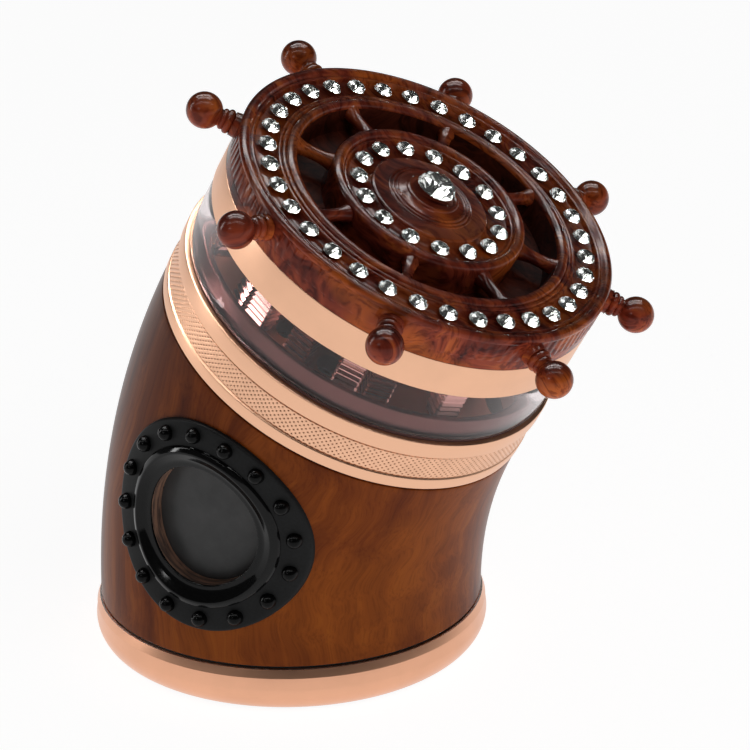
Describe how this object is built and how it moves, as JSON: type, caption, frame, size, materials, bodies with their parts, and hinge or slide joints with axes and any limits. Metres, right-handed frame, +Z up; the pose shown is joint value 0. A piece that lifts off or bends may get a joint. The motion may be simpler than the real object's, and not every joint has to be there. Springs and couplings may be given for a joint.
{
  "type": "herb grinder",
  "caption": "Leaning wood-grain herb grinder on a rose-gold base, with a riveted porthole, a clear window ring, and a ship's-wheel lid set with crystal stones.",
  "frame": {"origin": "middle of the base cup's flat underside", "axes": "+Z up, +X towards the side that the neck leans to, -Y towards the porthole"},
  "size_m": [0.0915, 0.0758, 0.0975],
  "materials": {
    "rose_gold_base": "satin rose-gold anodised",
    "rose_gold_tray": "satin rose-gold anodised, knurled band",
    "rose_gold_cap": "satin rose-gold anodised",
    "rose_gold_plate": "satin rose-gold anodised",
    "rose_gold_teeth": "satin rose-gold anodised",
    "walnut_print": "satin lacquer over a walnut grain print",
    "burl_print": "gloss lacquer over a red-brown burl print",
    "burl_handles": "gloss lacquer over a red-brown burl print",
    "satin_black": "satin black",
    "gloss_black": "gloss black",
    "rivet_black": "gloss black",
    "smoked_glass": "smoked glass",
    "clear_acrylic": "clear polished acrylic",
    "crystal": "foil-backed cut glass",
    "black_rubber": "matt black",
    "nylon_black": "smooth nylon",
    "steel_mesh": "punched stainless sheet",
    "spring_steel": "plain",
    "nickel_magnet": "nickel plated",
    "screw_steel": "zinc plated"
  },
  "bodies": {
    "base": {"base_cup": "rose_gold_base"},
    "base_thread": {"base_seal": "black_rubber"},
    "body": {"body_shell": "walnut_print", "sieve_screen": "steel_mesh", "sieve_ring": "spring_steel", "porthole_flange": "satin_black", "porthole_bezel": "gloss_black", "porthole_window": "smoked_glass", "porthole_gasket": "black_rubber", "porthole_rivets": "rivet_black"},
    "neck_thread": {"neck_seal": "black_rubber"},
    "tray": {"grinding_tray": "rose_gold_tray", "tray_teeth": "rose_gold_teeth", "tray_magnet": "nickel_magnet"},
    "lid_glide": {"friction_ring": "nylon_black"},
    "lid": {"window_ring": "clear_acrylic", "lid_cap": "rose_gold_cap", "tooth_plate": "rose_gold_plate", "lid_teeth": "rose_gold_teeth", "lid_magnet": "nickel_magnet", "lid_screws": "screw_steel", "wheel_rim": "burl_print", "wheel_hub": "burl_print", "wheel_spokes": "burl_print", "wheel_handles": "burl_handles", "rim_gems": "crystal", "hub_gems": "crystal", "centre_gem": "crystal"}
  },
  "joints": [
    {"name": "base_rise", "type": "slide", "parent": "base", "child": "base_thread", "axis": [0, 0, 1], "range_m": [0, 0.005]},
    {"name": "base_unscrew", "type": "hinge", "parent": "base_thread", "child": "body", "pos_m": [0, 0, 0], "axis": [0, 0, 1], "range_deg": [0, 1200]},
    {"name": "tray_rise", "type": "slide", "parent": "body", "child": "neck_thread", "axis": [0.4924, 0, 0.8704], "range_m": [0, 0.005]},
    {"name": "tray_unscrew", "type": "hinge", "parent": "neck_thread", "child": "tray", "pos_m": [0.01154, 0, 0.05218], "axis": [0.4924, 0, 0.8704], "range_deg": [0, 1200]},
    {"name": "lid_lift", "type": "slide", "parent": "tray", "child": "lid_glide", "axis": [0.4924, 0, 0.8704], "range_m": [0, 0.025]},
    {"name": "lid_spin", "type": "hinge", "parent": "lid_glide", "child": "lid", "pos_m": [0.01154, 0, 0.05218], "axis": [0.4924, 0, 0.8704], "continuous": true}
  ],
  "couplings": [
    {"joint": "base_rise", "follows": "base_unscrew", "m_per_rad": 0.00023873},
    {"joint": "tray_rise", "follows": "tray_unscrew", "m_per_rad": 0.00023873}
  ]
}
